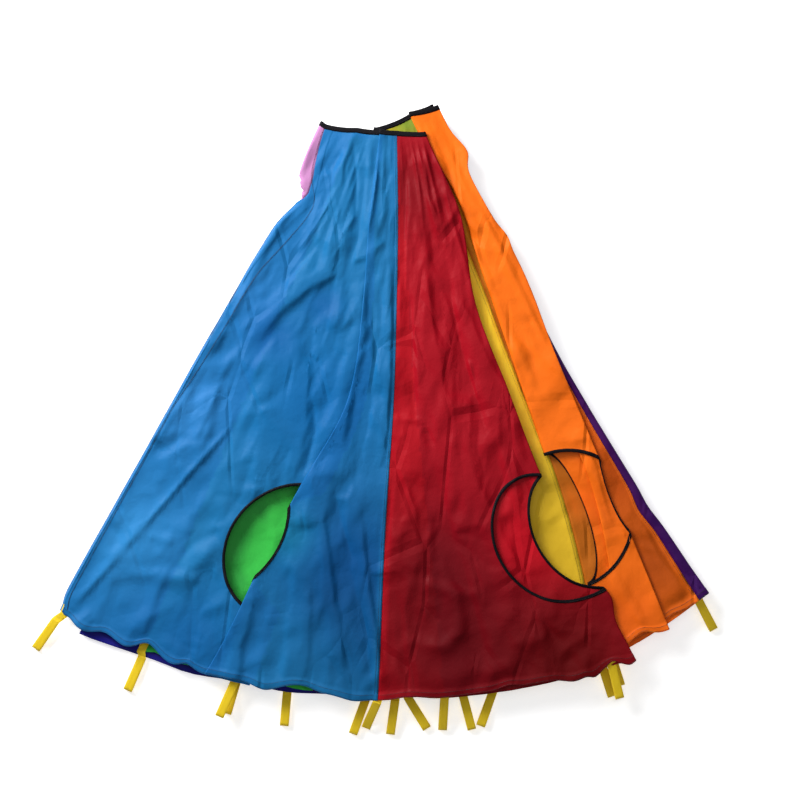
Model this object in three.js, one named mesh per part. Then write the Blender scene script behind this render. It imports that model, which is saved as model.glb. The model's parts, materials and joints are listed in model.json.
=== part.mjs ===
// Play parachute, three metres across when it is spread, shown folded into pleats and laid flat.
// Eight coloured gores make a disc with a bound hole at its middle and a bound hole in each gore.
// Sixteen webbing loops hang from the hem. Units are millimetres, +Z is up and the part stands on Z = 0.

import * as THREE from 'three';

// Sizes of the cloth when it is spread flat
const discRadius = 1500;
const middleHoleRadius = 217;
const goreHoleRadius = 150;
const goreHoleDistance = 1183;
const goreAngle = 45;
const fullTurn = 360;

// Sizes of the sewn work
const clothThickness = 1;
const seamGap = 0.3;
const hemWidth = 15;
const hemRamp = 2;
const hemThickness = 2;
const rimBindingWidth = 10;
const holeBindingWidth = 6;
const bindingThickness = 0.8;
const bindingClearance = 0.3;
const bindingFold = 1.6;

// Sizes of the folded stack: layers lie one pitch apart, and a fold takes up a little of the disc's angle
const layerPitch = 5;
const foldAngle = 0.5;
const foldBulge = 2.5;
const foldSteps = 4;
const angleTolerance = 0.01;

// Sizes of a handle loop, in webbing
const handleLength = 84;
const handleWidth = 20;
const webbingThickness = 1.2;
const handleRootRadius = 1.5;
const handleLoopHeight = 16;
const handleGap = 0.3;
const hemSearchAngle = 3;
const hemSearchSteps = 24;
const floorGap = 0.2;
const curveSteps = 4;

// Where the cloth goes as it is folded. Each row is one radial line of the disc: its angle on the disc, the
// layer that it lies in, how far it has slipped along its length at the middle and at the hem, and the
// direction it points in at each of the distances in lineShares. Angles are in degrees, and zero points
// from the middle hole straight down the fan. At a row with foldTo the cloth folds over to that layer.
const lineShares = [0, 0.13, 0.3, 0.48, 0.62, 1];
const middleShare = 3;
const foldedPlan = [
  { at: 0, layer: 4, slipShares: [0.04, 0.043], aims: [-34.6, -26.6, -30.4, -30.3, -30.1, -29.7] },
  { at: 12, layer: 6, slipShares: [0.021, 0.03], aims: [-19.5, -16.5, -17.5, -17.5, -19.5, -21.4] },
  { at: 22.5, layer: 7.6, slipShares: [0.017, 0.026], aims: [-8.3, -7.8, -6.9, -6.9, -10.1, -13.6] },
  { at: 24.75, layer: 8, foldTo: 9, slipShares: [0.0165, 0.026], aims: [-5.9, -6, -4.6, -4.6, -8.1, -12.4] },
  { at: 28.25, layer: 9, foldTo: 10, slipShares: [0.0165, 0.024], aims: [-6.5, -6.8, -6, -6.8, -10.8, -16.1] },
  { at: 36, layer: 10, slipShares: [0.017, 0.014], aims: [-2.5, -2.8, -2.5, -3, -5.8, -8.9] },
  { at: 45, layer: 10, slipShares: [0.018, 0.025], aims: [2.1, 1.6, 0.8, 0.1, -0.6, -1.3] },
  { at: 58, layer: 10.5, slipShares: [0.0225, 0.02], aims: [9.4, 10.9, 8.8, 8.9, 9, 10.5] },
  { at: 69.75, layer: 11, foldTo: 10, slipShares: [0.028, 0.027], aims: [16.2, 19.4, 16.4, 17.4, 18, 20.9] },
  { at: 90, layer: 8, slipShares: [0.018, 0.025], aims: [2.5, 3.4, 3.4, 3.6, 4, 4.4] },
  { at: 102.95, layer: 6, foldTo: 5, slipShares: [0.012, 0.02], aims: [-10, -8.8, -8.8, -8.8, -8.8, -8.8] },
  { at: 112.5, layer: 5, slipShares: [0.002, 0.025], aims: [-2, -0.5, 0.2, 0.2, 0.2, 0.2] },
  { at: 135, layer: 5, slipShares: [-0.016, 0.02], aims: [14, 17, 19, 19.5, 20, 18.2] },
  { at: 142.75, layer: 5, foldTo: 6, slipShares: [-0.015, -0.014], aims: [26.4, 26, 26.4, 26.1, 26.9, 27.8] },
  { at: 149.5, layer: 6, slipShares: [-0.014, 0.007], aims: [17, 22.8, 22.8, 22.4, 22.1, 21.8] },
  { at: 157.25, layer: 6, foldTo: 9, slipShares: [-0.014, 0.01], aims: [12, 20.4, 20.4, 20, 19.8, 19.4] },
  { at: 163.25, layer: 9, foldTo: 8, slipShares: [-0.008, 0.006], aims: [28.8, 27, 27.9, 26.2, 25.6, 24.5] },
  { at: 168.75, layer: 8, foldTo: 7, slipShares: [-0.008, 0.004], aims: [20, 22, 21.8, 22.2, 23.6, 20.3] },
  { at: 180, layer: 7, slipShares: [-0.004, -0.016], aims: [26.4, 25.6, 26, 25.9, 26.5, 28.1] },
  { at: 181.55, layer: 7, foldTo: 4, slipShares: [-0.004, -0.018], aims: [27.2, 26.4, 26.8, 26.5, 27.1, 29] },
  { at: 202.5, layer: 4, slipShares: [0.02, 0.024], aims: [8, 8, 7.4, 6.6, 6.2, 6] },
  { at: 216.75, layer: 4, foldTo: 3, slipShares: [0.03, 0.02], aims: [-6, -6.4, -6.8, -6.8, -6.8, -6.8] },
  { at: 225, layer: 3, slipShares: [0.03, 0.02], aims: [1.2, 1.2, 1.2, 1.2, 1.2, 1.2] },
  { at: 233.15, layer: 3, foldTo: 2, slipShares: [0.03, 0.02], aims: [9.6, 9.6, 9.6, 9.6, 9.6, 9.6] },
  { at: 247.5, layer: 2, slipShares: [0.03, 0.026], aims: [-2.3, -2.3, -2.3, -2.3, -2.3, -2.3] },
  { at: 270, layer: 2, slipShares: [0.04, 0.036], aims: [-21, -21, -21.6, -21.8, -21.8, -21.8] },
  { at: 274.05, layer: 2, foldTo: 1, slipShares: [0.045, 0.042], aims: [-25, -24, -26, -26, -26, -26.1] },
  { at: 292.5, layer: 1, slipShares: [0.03, 0.023], aims: [-9.1, -9.1, -9.1, -9.1, -9.1, -9.1] },
  { at: 311.35, layer: 1, foldTo: 0, slipShares: [0.03, 0.026], aims: [9.8, 9.8, 9.8, 9.8, 9.8, 9.8] },
  { at: 315, layer: 0, slipShares: [0.03, 0.024], aims: [8.7, 8.7, 8.7, 8.7, 8.7, 8.7] },
  { at: 337.5, layer: 0, slipShares: [0.03, 0.022], aims: [-13.5, -13.5, -13.5, -13.5, -13.5, -13.5] },
  { at: 356.85, layer: 0, foldTo: 4, slipShares: [0.04, 0.04], aims: [-36.6, -31.3, -30.6, -30.4, -30.2, -29.9] },
  { at: 360, layer: 4, slipShares: [0.04, 0.043], aims: [-34.6, -26.6, -30.4, -30.3, -30.1, -29.7] },
];

// Each fold's row stands for two lines, one on either side of the fold
const foldedLines = foldedPlan.flatMap((row) => {
  const turned = { ...row, at: row.at + foldAngle, layer: row.foldTo };
  return row.foldTo === undefined ? [row] : [{ ...row, folds: true }, turned];
});

const gores = [
  { name: 'light_blue_panel', colour: 0x2383c4, holeSteps: 6 },
  { name: 'red_panel', colour: 0xb01022, holeSteps: 6 },
  { name: 'yellow_panel', colour: 0xddb83f, holeSteps: 4 },
  { name: 'orange_panel', colour: 0xff7a22, holeSteps: 6 },
  { name: 'purple_panel', colour: 0x4b1170, holeSteps: 4 },
  { name: 'green_panel', colour: 0x2fa03a, holeSteps: 4 },
  { name: 'dark_blue_panel', colour: 0x1c1a80, holeSteps: 4 },
  { name: 'pink_panel', colour: 0xc583c9, holeSteps: 4 },
];

// Each handle hangs from the hem at one angle of the disc. The lean turns it sideways from straight out, and
// the foot says how far above the floor its tip lies, as a share of the loop's height.
const handles = [
  { at: 0, lean: -7, footShare: 0 },
  { at: 22.5, lean: -3, footShare: 1.8 },
  { at: 45, lean: -19, footShare: 0 },
  { at: 67.5, lean: -10, footShare: 2 },
  { at: 90, lean: -8, footShare: 0 },
  { at: 112.5, lean: -8, footShare: 0 },
  { at: 135, lean: 4, footShare: 0 },
  { at: 157.5, lean: 0, footShare: 0 },
  { at: 180, lean: -2, footShare: 0 },
  { at: 202.5, lean: 9, footShare: 0 },
  { at: 225, lean: 30, footShare: 0 },
  { at: 247.5, lean: -18, footShare: 0 },
  { at: 270, lean: -2, footShare: 0 },
  { at: 292.5, lean: 4, footShare: 0 },
  { at: 315, lean: -29, footShare: 0 },
  { at: 337.5, lean: -3, footShare: 0 },
];

const goreLength = discRadius - middleHoleRadius;
const bottomLayerHeight = clothThickness / 2 + bindingClearance + bindingThickness;
const inner = clothThickness / 2 + bindingClearance;
const outer = inner + bindingThickness;

const radians = THREE.MathUtils.degToRad;

// One point of the folded cloth, for a row of foldedLines at one of its listed distances
function linePoint(row, index) {
  const share = lineShares[index];
  const slipShare = THREE.MathUtils.lerp(row.slipShares[0], row.slipShares[1], share);
  const distance = middleHoleRadius + goreLength * (share + slipShare);
  const aim = radians(row.aims[index]);
  const height = bottomLayerHeight + row.layer * layerPitch;
  return new THREE.Vector3(Math.sin(aim) * distance, -Math.cos(aim) * distance, height);
}

// A fold is half an ellipse that stands out past the two lines that it joins
function foldRows(first, second, side) {
  const rows = [];
  const halfHeight = Math.abs(second.layer - first.layer) * layerPitch / 2;
  const bulge = foldBulge + (halfHeight - foldBulge) / 2;
  for (let step = 1; step < foldSteps; step++) {
    const turn = Math.PI * step / foldSteps;
    const points = lineShares.map((share, index) => {
      const a = linePoint(first, index);
      const b = linePoint(second, index);
      const aim = radians(first.aims[index]);
      const point = a.clone().lerp(b, (1 - Math.cos(turn)) / 2);
      point.x += Math.cos(aim) * Math.sin(turn) * bulge * side;
      point.y += Math.sin(aim) * Math.sin(turn) * bulge * side;
      return point;
    });
    rows.push({ at: THREE.MathUtils.lerp(first.at, second.at, step / foldSteps), points });
  }
  return rows;
}

// The folded cloth as a ribbon of lines with points and offset directions, once round the disc
function foldCloth() {
  const lines = [];
  foldedLines.forEach((row, index) => {
    lines.push({ at: row.at, points: lineShares.map((share, k) => linePoint(row, k)) });
    if (row.folds) {
      const before = foldedLines[index - 1];
      const side = Math.sign(row.aims[middleShare] - before.aims[middleShare]);
      lines.push(...foldRows(row, foldedLines[index + 1], side));
    }
  });
  const faceNormals = [];
  for (let i = 0; i + 1 < lines.length; i++) {
    faceNormals.push(lineShares.map((share, k) => {
      const along = lines[i + 1].points[k].clone().sub(lines[i].points[k]);
      const last = Math.min(k + 1, lineShares.length - 1);
      const first = Math.max(k - 1, 0);
      const outward = lines[i].points[last].clone().sub(lines[i].points[first]);
      return outward.cross(along).normalize();
    }));
  }
  lines.forEach((line, i) => {
    const before = faceNormals[i === 0 ? faceNormals.length - 1 : i - 1];
    const after = faceNormals[i === lines.length - 1 ? 0 : i];
    line.offsets = lineShares.map((share, k) => {
      const sum = before[k].clone().add(after[k]);
      return sum.divideScalar(1 + before[k].dot(after[k]));
    });
  });
  return lines;
}

const cloth = foldCloth();
const folds = foldedLines.filter((row) => row.folds).map((row) => [row.at, row.at + foldAngle]);

function blend(list, k, mix) {
  return list[k].clone().lerp(list[k + 1], mix);
}

// Where a place on the spread disc, by angle and distance, comes to lie, raised off the cloth by a distance
function place(at, distance, raise) {
  let i = 0;
  while (i + 2 < cloth.length && at > cloth[i + 1].at) i++;
  const share = (distance - middleHoleRadius) / goreLength;
  let k = 0;
  while (k + 2 < lineShares.length && share > lineShares[k + 1]) k++;
  const mix = (share - lineShares[k]) / (lineShares[k + 1] - lineShares[k]);
  const across = (at - cloth[i].at) / (cloth[i + 1].at - cloth[i].at);
  const point = blend(cloth[i].points, k, mix).lerp(blend(cloth[i + 1].points, k, mix), across);
  const offset = blend(cloth[i].offsets, k, mix).lerp(blend(cloth[i + 1].offsets, k, mix), across);
  return point.addScaledVector(offset, raise);
}

// The unit direction in which the cloth runs, with growing angle, at one place on the disc
function direction(at, distance, step) {
  return place(at + step, distance, 0).sub(place(at, distance, 0)).multiplyScalar(Math.sign(step)).normalize();
}

// Angles, from a hole's middle line, at which radial lines cut a circle about that hole
function crossings(radius, steps) {
  const angles = [];
  for (let step = -steps; step <= steps; step++) {
    const reach = radius * Math.sin(Math.PI / 2 * step / steps);
    angles.push(THREE.MathUtils.radToDeg(Math.asin(reach / goreHoleDistance)));
  }
  return angles;
}

// The near and far distances at which a radial line cuts a circle about a gore hole
function cutCircle(angle, radius) {
  const turn = radians(angle);
  const middle = goreHoleDistance * Math.cos(turn);
  const half = Math.sqrt(Math.max(radius ** 2 - (goreHoleDistance * Math.sin(turn)) ** 2, 0));
  return [middle - half, middle + half];
}

// A closed mesh from a list of points and a list of triangles
function meshFrom(name, points, triangles, material) {
  const geometry = new THREE.BufferGeometry();
  const positions = points.flatMap((point) => [point.x, point.y, point.z]);
  geometry.setAttribute('position', new THREE.Float32BufferAttribute(positions, 3));
  geometry.setIndex(triangles);
  geometry.computeVertexNormals();
  const mesh = new THREE.Mesh(geometry, material);
  mesh.name = name;
  return mesh;
}

// A gore's outline on the disc: radial columns, cut round the gore hole, as rows of distances
function goreColumns(index) {
  const start = index * goreAngle;
  const end = start + goreAngle;
  const middle = (start + end) / 2;
  const hole = crossings(goreHoleRadius, gores[index].holeSteps).map((angle) => middle + angle);
  const widest = hole[hole.length - 1] - middle;
  const lines = cloth.map((line) => line.at).filter((at) => at > start && at < end);
  const nearFold = (at) => folds.some(([a, b]) => at > a - foldAngle && at < b + foldAngle);
  const ends = [start, end];
  const holeLines = hole.filter((at, i) => i === 0 || i === hole.length - 1 || !nearFold(at));
  const all = [...ends, ...lines, ...holeLines].sort((a, b) => a - b);
  return all.map((at) => {
    const angle = THREE.MathUtils.clamp(at - middle, -widest, widest);
    const [near, far] = cutCircle(angle, goreHoleRadius);
    const closed = Math.abs(at - middle) > widest - angleTolerance;
    const shut = goreHoleDistance * Math.cos(radians(widest));
    return { at, near: closed ? shut : near, far: closed ? shut : far, closed, inHole: angle === at - middle };
  });
}

function gorePanel(index) {
  const columns = goreColumns(index);
  const start = columns[0].at;
  const end = columns[columns.length - 1].at;
  const hemStart = discRadius - hemWidth;
  const rimRow = middleHoleRadius + rimBindingWidth + bindingFold;
  const points = [];
  const triangles = [];
  const nearRow = lineShares.length;
  const grid = columns.map(({ at, near, far, closed }) => {
    const inside = lineShares.slice(0, -1).map((share) => middleHoleRadius + goreLength * share);
    const distances = [inside[0], rimRow, ...inside.slice(1), near, far, hemStart - hemRamp, hemStart, discRadius];
    const ids = [];
    distances.forEach((distance, row) => {
      if (closed && row === nearRow + 1) {
        ids.push(ids[row - 1]);
        return;
      }
      const thickness = row > nearRow + 2 ? hemThickness : clothThickness;
      const shift = new THREE.Vector3();
      if (at === start) shift.copy(direction(at, distance, foldAngle)).multiplyScalar(seamGap / 2);
      if (at === end) shift.copy(direction(at, distance, -foldAngle)).multiplyScalar(-seamGap / 2);
      ids.push(points.length);
      points.push(place(at, distance, thickness / 2).add(shift));
      points.push(place(at, distance, -thickness / 2).add(shift));
    });
    return ids;
  });

  const flat = [];
  for (let c = 0; c + 1 < grid.length; c++) {
    for (let row = 0; row + 1 < grid[c].length; row++) {
      if (row === nearRow) continue;
      const corners = [grid[c][row], grid[c][row + 1], grid[c + 1][row + 1], grid[c + 1][row]];
      flat.push([corners[0], corners[1], corners[2]], [corners[0], corners[2], corners[3]]);
    }
  }
  const edges = new Map();
  for (const [a, b, c] of flat) {
    triangles.push(a, b, c, a + 1, c + 1, b + 1);
    for (const [from, to] of [[a, b], [b, c], [c, a]]) {
      if (!edges.delete(`${to},${from}`)) edges.set(`${from},${to}`, [from, to]);
    }
  }
  for (const [from, to] of edges.values()) {
    triangles.push(to, from, from + 1, to, from + 1, to + 1);
  }
  const material = new THREE.MeshStandardMaterial({ color: gores[index].colour, roughness: 0.5, metalness: 0 });
  return meshFrom(gores[index].name, points, triangles, material);
}

// Joins rings of section points, each with the same count, into one closed tube of triangles
function sweepRings(rings) {
  const points = rings.flat();
  const count = rings[0].length;
  const triangles = [];
  for (let r = 0; r < rings.length; r++) {
    const here = r * count;
    const there = ((r + 1) % rings.length) * count;
    for (let s = 0; s < count; s++) {
      const t = (s + 1) % count;
      triangles.push(here + s, there + s, there + t, here + s, there + t, here + t);
    }
  }
  return { points, triangles };
}

// The binding's section: a strip folded over the cloth's edge, as distances past the edge and raises
const bindingSection = (width) => [
  [width, outer],
  [-bindingFold, outer],
  [-bindingFold, -outer],
  [width, -outer],
  [width, -inner],
  [-bindingFold + bindingThickness, -inner],
  [-bindingFold + bindingThickness, inner],
  [width, inner],
];

const bindingMaterial = () => new THREE.MeshStandardMaterial({ color: 0x0a0710, roughness: 0.6, metalness: 0 });

function goreHoleBinding(index) {
  const middle = (index + 0.5) * goreAngle;
  const section = bindingSection(holeBindingWidth);
  const sides = section.map(([past]) => goreHoleRadius + past);
  const atLine = (at) => cloth.some((line) => line.at === at);
  const entries = [];
  for (const { at, near, far, closed, inHole } of goreColumns(index)) {
    if (!inHole) continue;
    const angle = at - middle;
    [near, far].slice(closed ? 1 : 0).forEach((distance, side) => {
      const across = distance * Math.sin(radians(angle));
      const out = distance * Math.cos(radians(angle)) - goreHoleDistance;
      const turn = Math.atan2(across, out);
      const spots = sides.map((radius) => {
        if (atLine(at)) return [at, cutCircle(angle, radius)[side]];
        const x = radius * Math.sin(turn);
        const y = goreHoleDistance + radius * Math.cos(turn);
        return [middle + THREE.MathUtils.radToDeg(Math.atan2(x, y)), Math.hypot(x, y)];
      });
      entries.push({ turn: (turn + 2 * Math.PI) % (2 * Math.PI), spots });
    });
  }
  entries.sort((a, b) => a.turn - b.turn);
  const raises = section.map(([past, raise]) => raise);
  const rings = entries.map(({ spots }) => spots.map(([at, distance], s) => place(at, distance, raises[s])));
  const { points, triangles } = sweepRings(rings);
  return meshFrom(gores[index].name.replace('panel', 'hole_binding'), points, triangles, bindingMaterial());
}

function middleHoleBinding() {
  const section = bindingSection(rimBindingWidth);
  const rings = cloth.slice(0, -1).map(({ at }) =>
    section.map(([past, raise]) => place(at, middleHoleRadius + past, raise)));
  const { points, triangles } = sweepRings(rings);
  return meshFrom('middle_hole_binding', points, triangles, bindingMaterial());
}

// A webbing loop seen from its side: a drop-shaped band, pinched at the hem and open at its end
function handleOutline(inset) {
  const end = handleLoopHeight / 2 - inset;
  const root = handleRootRadius - inset;
  const shape = new THREE.Path();
  const centre = handleLength - handleLoopHeight / 2;
  shape.moveTo(0, -root);
  shape.lineTo(centre, -end);
  shape.absarc(centre, 0, end, -Math.PI / 2, Math.PI / 2, false);
  shape.lineTo(0, root);
  shape.absarc(0, 0, root, Math.PI / 2, Math.PI * 3 / 2, false);
  return shape;
}

function handle(entry) {
  const shape = new THREE.Shape(handleOutline(0).getPoints(curveSteps));
  shape.holes.push(new THREE.Path(handleOutline(webbingThickness).getPoints(curveSteps)));
  const geometry = new THREE.ExtrudeGeometry(shape, { depth: handleWidth, bevelEnabled: false });
  geometry.translate(0, 0, -handleWidth / 2);
  geometry.rotateX(Math.PI / 2);
  const material = new THREE.MeshStandardMaterial({ color: 0xdcc21e, roughness: 0.7, metalness: 0 });
  const mesh = new THREE.Mesh(geometry, material);
  mesh.name = `handle_${String(handles.indexOf(entry) + 1).padStart(2, '0')}`;
  const hem = place(entry.at, discRadius, 0);
  const outward = hem.clone().sub(place(entry.at, discRadius - hemWidth, 0)).setZ(0).normalize();
  outward.applyAxisAngle(new THREE.Vector3(0, 0, 1), radians(entry.lean));
  const sideways = new THREE.Vector3(-outward.y, outward.x, 0);
  const nearby = [];
  for (let turn = -hemSearchAngle; turn <= hemSearchAngle; turn += hemSearchAngle / hemSearchSteps) {
    const at = THREE.MathUtils.euclideanModulo(entry.at + turn, fullTurn);
    nearby.push(place(at, discRadius, 0).sub(hem));
  }
  const beside = nearby.filter((point) => Math.abs(point.dot(sideways)) < handleWidth / 2 + hemThickness);
  const standOff = Math.max(0, ...beside.map((point) => point.dot(outward)));
  mesh.position.copy(hem).addScaledVector(outward, handleRootRadius + handleGap + standOff);
  const foot = floorGap + handleLoopHeight * (0.5 + entry.footShare);
  const reach = handleLength - handleLoopHeight / 2;
  const drop = mesh.position.z - foot;
  const heading = Math.atan2(outward.y, outward.x);
  mesh.rotation.set(0, Math.asin(drop / reach), heading, 'ZYX');
  return mesh;
}

const parachute = new THREE.Group();
gores.forEach((gore, index) => {
  parachute.add(gorePanel(index));
  parachute.add(goreHoleBinding(index));
});
parachute.add(middleHoleBinding());
handles.forEach((entry) => parachute.add(handle(entry)));

// The part stands with the middle of its box over the origin
parachute.updateMatrixWorld(true);
const box = new THREE.Box3().setFromObject(parachute, true);
const centre = box.getCenter(new THREE.Vector3());
parachute.position.set(-centre.x, -centre.y, -box.min.z);

export default parachute;
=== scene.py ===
# A play parachute of woven polyester, folded into pleats and laid flat on a pale floor.
# Eight coloured gores make a disc three metres across, with a bound hole in each and one at the middle,
# and sixteen webbing loops are sewn under its hem. Lengths are in millimetres and meshes in metres.

import json
import math

import bpy
import numpy as np
from mathutils import Matrix, Vector


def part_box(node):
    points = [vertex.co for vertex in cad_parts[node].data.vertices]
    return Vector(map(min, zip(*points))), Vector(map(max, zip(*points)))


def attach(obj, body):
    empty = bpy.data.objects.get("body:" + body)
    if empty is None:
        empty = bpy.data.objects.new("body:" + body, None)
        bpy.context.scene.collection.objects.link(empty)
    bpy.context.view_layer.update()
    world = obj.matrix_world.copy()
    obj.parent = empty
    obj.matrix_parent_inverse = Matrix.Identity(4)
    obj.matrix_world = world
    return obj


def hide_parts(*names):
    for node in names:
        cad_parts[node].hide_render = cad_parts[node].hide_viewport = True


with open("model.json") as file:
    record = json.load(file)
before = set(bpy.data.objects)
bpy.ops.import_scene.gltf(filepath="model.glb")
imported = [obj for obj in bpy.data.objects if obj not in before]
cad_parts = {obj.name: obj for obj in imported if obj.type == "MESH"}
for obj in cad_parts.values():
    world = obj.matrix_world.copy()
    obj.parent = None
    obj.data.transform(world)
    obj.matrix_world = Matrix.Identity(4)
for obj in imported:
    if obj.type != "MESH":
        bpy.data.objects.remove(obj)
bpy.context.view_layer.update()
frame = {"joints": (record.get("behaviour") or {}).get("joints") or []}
METRE = 0.001

# The spread cloth: eight gores of polyester taffeta, sewn edge to edge into one disc. A round hole is cut
# out of its middle, and one out of each gore.
disc_radius = 1500
middle_hole_radius = 217
gore_hole_radius = 150
gore_hole_distance = 1183
gore_angle = 45
gore_length = disc_radius - middle_hole_radius
cloth_thickness = 0.5

# The folded stack: each layer lies one pitch above the last, and a fold takes a little of the disc's angle.
# A row is one radial line of the disc: its angle there, its layer, the layer that it folds over to, its
# slip along its own length at the middle hole and at the hem, and the way it points at each share of its
# length.
layer_pitch = 5
bottom_layer_height = 1.6
fold_bulge = 2.5
fold_steps = 10
line_shares = [0, 0.13, 0.3, 0.48, 0.62, 1]
fold_angle = 0.5
folded_plan = [
    (0, 4, None, (0.04, 0.043), (-34.6, -26.6, -30.4, -30.3, -30.1, -29.7)),
    (12, 6, None, (0.021, 0.03), (-19.5, -16.5, -17.5, -17.5, -19.5, -21.4)),
    (22.5, 7.6, None, (0.017, 0.026), (-8.3, -7.8, -6.9, -6.9, -10.1, -13.6)),
    (24.75, 8, 9, (0.0165, 0.026), (-5.9, -6, -4.6, -4.6, -8.1, -12.4)),
    (28.25, 9, 10, (0.0165, 0.024), (-6.5, -6.8, -6, -6.8, -10.8, -16.1)),
    (36, 10, None, (0.017, 0.014), (-2.5, -2.8, -2.5, -3, -5.8, -8.9)),
    (45, 10, None, (0.018, 0.025), (2.1, 1.6, 0.8, 0.1, -0.6, -1.3)),
    (58, 10.5, None, (0.0225, 0.02), (9.4, 10.9, 8.8, 8.9, 9, 10.5)),
    (69.75, 11, 10, (0.028, 0.027), (16.2, 19.4, 16.4, 17.4, 18, 20.9)),
    (90, 8, None, (0.018, 0.025), (2.5, 3.4, 3.4, 3.6, 4, 4.4)),
    (102.95, 6, 5, (0.012, 0.02), (-10, -8.8, -8.8, -8.8, -8.8, -8.8)),
    (112.5, 5, None, (0.002, 0.025), (-2, -0.5, 0.2, 0.2, 0.2, 0.2)),
    (135, 5, None, (-0.016, 0.02), (14, 17, 19, 19.5, 20, 18.2)),
    (142.75, 5, 6, (-0.015, -0.014), (26.4, 26, 26.4, 26.1, 26.9, 27.8)),
    (149.5, 6, None, (-0.014, 0.007), (17, 22.8, 22.8, 22.4, 22.1, 21.8)),
    (157.25, 6, 9, (-0.014, 0.01), (12, 20.4, 20.4, 20, 19.8, 19.4)),
    (163.25, 9, 8, (-0.008, 0.006), (28.8, 27, 27.9, 26.2, 25.6, 24.5)),
    (168.75, 8, 7, (-0.008, 0.004), (20, 22, 21.8, 22.2, 23.6, 20.3)),
    (180, 7, None, (-0.004, -0.016), (26.4, 25.6, 26, 25.9, 26.5, 28.1)),
    (181.55, 7, 4, (-0.004, -0.018), (27.2, 26.4, 26.8, 26.5, 27.1, 29)),
    (202.5, 4, None, (0.02, 0.024), (8, 8, 7.4, 6.6, 6.2, 6)),
    (216.75, 4, 3, (0.03, 0.02), (-6, -6.4, -6.8, -6.8, -6.8, -6.8)),
    (225, 3, None, (0.03, 0.02), (1.2, 1.2, 1.2, 1.2, 1.2, 1.2)),
    (233.15, 3, 2, (0.03, 0.02), (9.6, 9.6, 9.6, 9.6, 9.6, 9.6)),
    (247.5, 2, None, (0.03, 0.026), (-2.3, -2.3, -2.3, -2.3, -2.3, -2.3)),
    (270, 2, None, (0.04, 0.036), (-21, -21, -21.6, -21.8, -21.8, -21.8)),
    (274.05, 2, 1, (0.045, 0.042), (-25, -24, -26, -26, -26, -26.1)),
    (292.5, 1, None, (0.03, 0.023), (-9.1, -9.1, -9.1, -9.1, -9.1, -9.1)),
    (311.35, 1, 0, (0.03, 0.026), (9.8, 9.8, 9.8, 9.8, 9.8, 9.8)),
    (315, 0, None, (0.03, 0.024), (8.7, 8.7, 8.7, 8.7, 8.7, 8.7)),
    (337.5, 0, None, (0.03, 0.022), (-13.5, -13.5, -13.5, -13.5, -13.5, -13.5)),
    (356.85, 0, 4, (0.04, 0.04), (-36.6, -31.3, -30.6, -30.4, -30.2, -29.9)),
    (360, 4, None, (0.04, 0.043), (-34.6, -26.6, -30.4, -30.3, -30.1, -29.7)),
]
share_steps = 48


# The cloth keeps the part's shape. A place on a line is held as its aim, its distance from the disc's
# middle, its height, and how far it bulges aside.
def curve_through(shares, values, at):
    slopes = np.gradient(values, shares)
    i = np.clip(np.searchsorted(shares, at) - 1, 0, len(shares) - 2)
    span = np.diff(shares)[i]
    t = (at - np.array(shares)[i]) / span
    low = np.array(values)[i]
    high = np.array(values)[i + 1]
    rise = (2 * t**3 - 3 * t**2 + 1) * low + (3 * t**2 - 2 * t**3) * high
    return rise + (t**3 - 2 * t**2 + t) * span * slopes[i] + (t**3 - t**2) * span * slopes[i + 1]


fine_shares = np.linspace(0, 1, share_steps)
lines = []
for index, (at, layer, fold_to, slips, aims) in enumerate(folded_plan):
    slip = slips[0] + (slips[1] - slips[0]) * fine_shares
    distance = middle_hole_radius + gore_length * (fine_shares + slip)
    aim = curve_through(line_shares, np.radians(aims), fine_shares)
    steady = np.ones(share_steps)
    height = bottom_layer_height + layer * layer_pitch
    lines.append((at, aim, distance, height * steady, 0 * steady))
    if fold_to is None:
        continue
    side = math.copysign(1, aims[3] - folded_plan[index - 1][4][3])
    climb = (fold_to - layer) * layer_pitch
    bulge = fold_bulge + (abs(climb) / 2 - fold_bulge) / 2
    for step in range(1, fold_steps + 1):
        turn = math.pi * step / fold_steps
        lifted = height + climb * (1 - math.cos(turn)) / 2
        aside = math.sin(turn) * bulge * side
        lines.append((at + fold_angle * step / fold_steps, aim, distance, lifted * steady, aside * steady))
line_angles = np.array([line[0] for line in lines])
line_table = np.array([line[1:] for line in lines])


def folded_place(at, distance):
    at = np.mod(at, 360)
    i = np.clip(np.searchsorted(line_angles, at) - 1, 0, len(line_angles) - 2)
    across = (at - line_angles[i]) / (line_angles[i + 1] - line_angles[i])
    along = np.clip((distance - middle_hole_radius) / gore_length, 0, 1) * (share_steps - 1)
    k = np.clip(along.astype(int), 0, share_steps - 2)
    mix = along - k
    first = line_table[i, :, k] * (1 - mix)[:, None] + line_table[i, :, k + 1] * mix[:, None]
    second = line_table[i + 1, :, k] * (1 - mix)[:, None] + line_table[i + 1, :, k + 1] * mix[:, None]
    aim, reach, height, aside = (first * (1 - across)[:, None] + second * across[:, None]).T
    x = np.sin(aim) * reach + np.cos(aim) * aside
    y = -np.cos(aim) * reach + np.sin(aim) * aside
    return np.stack([x, y, height], 1)


# The part stands with the middle of its box over the origin: the middle hole's tape says how far it moved
tape_width = 10
hole_tape_width = 6
rim_angles = np.linspace(0, 360, 3601)
rim_places = folded_place(rim_angles, np.full(len(rim_angles), float(middle_hole_radius + tape_width)))
tape_low, tape_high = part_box("middle_hole_binding")
shift = np.zeros(3)
shift[0] = (tape_low.x + tape_high.x) / 2 / METRE - (rim_places[:, 0].min() + rim_places[:, 0].max()) / 2
shift[1] = tape_low.y / METRE - rim_places[:, 1].min()


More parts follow.
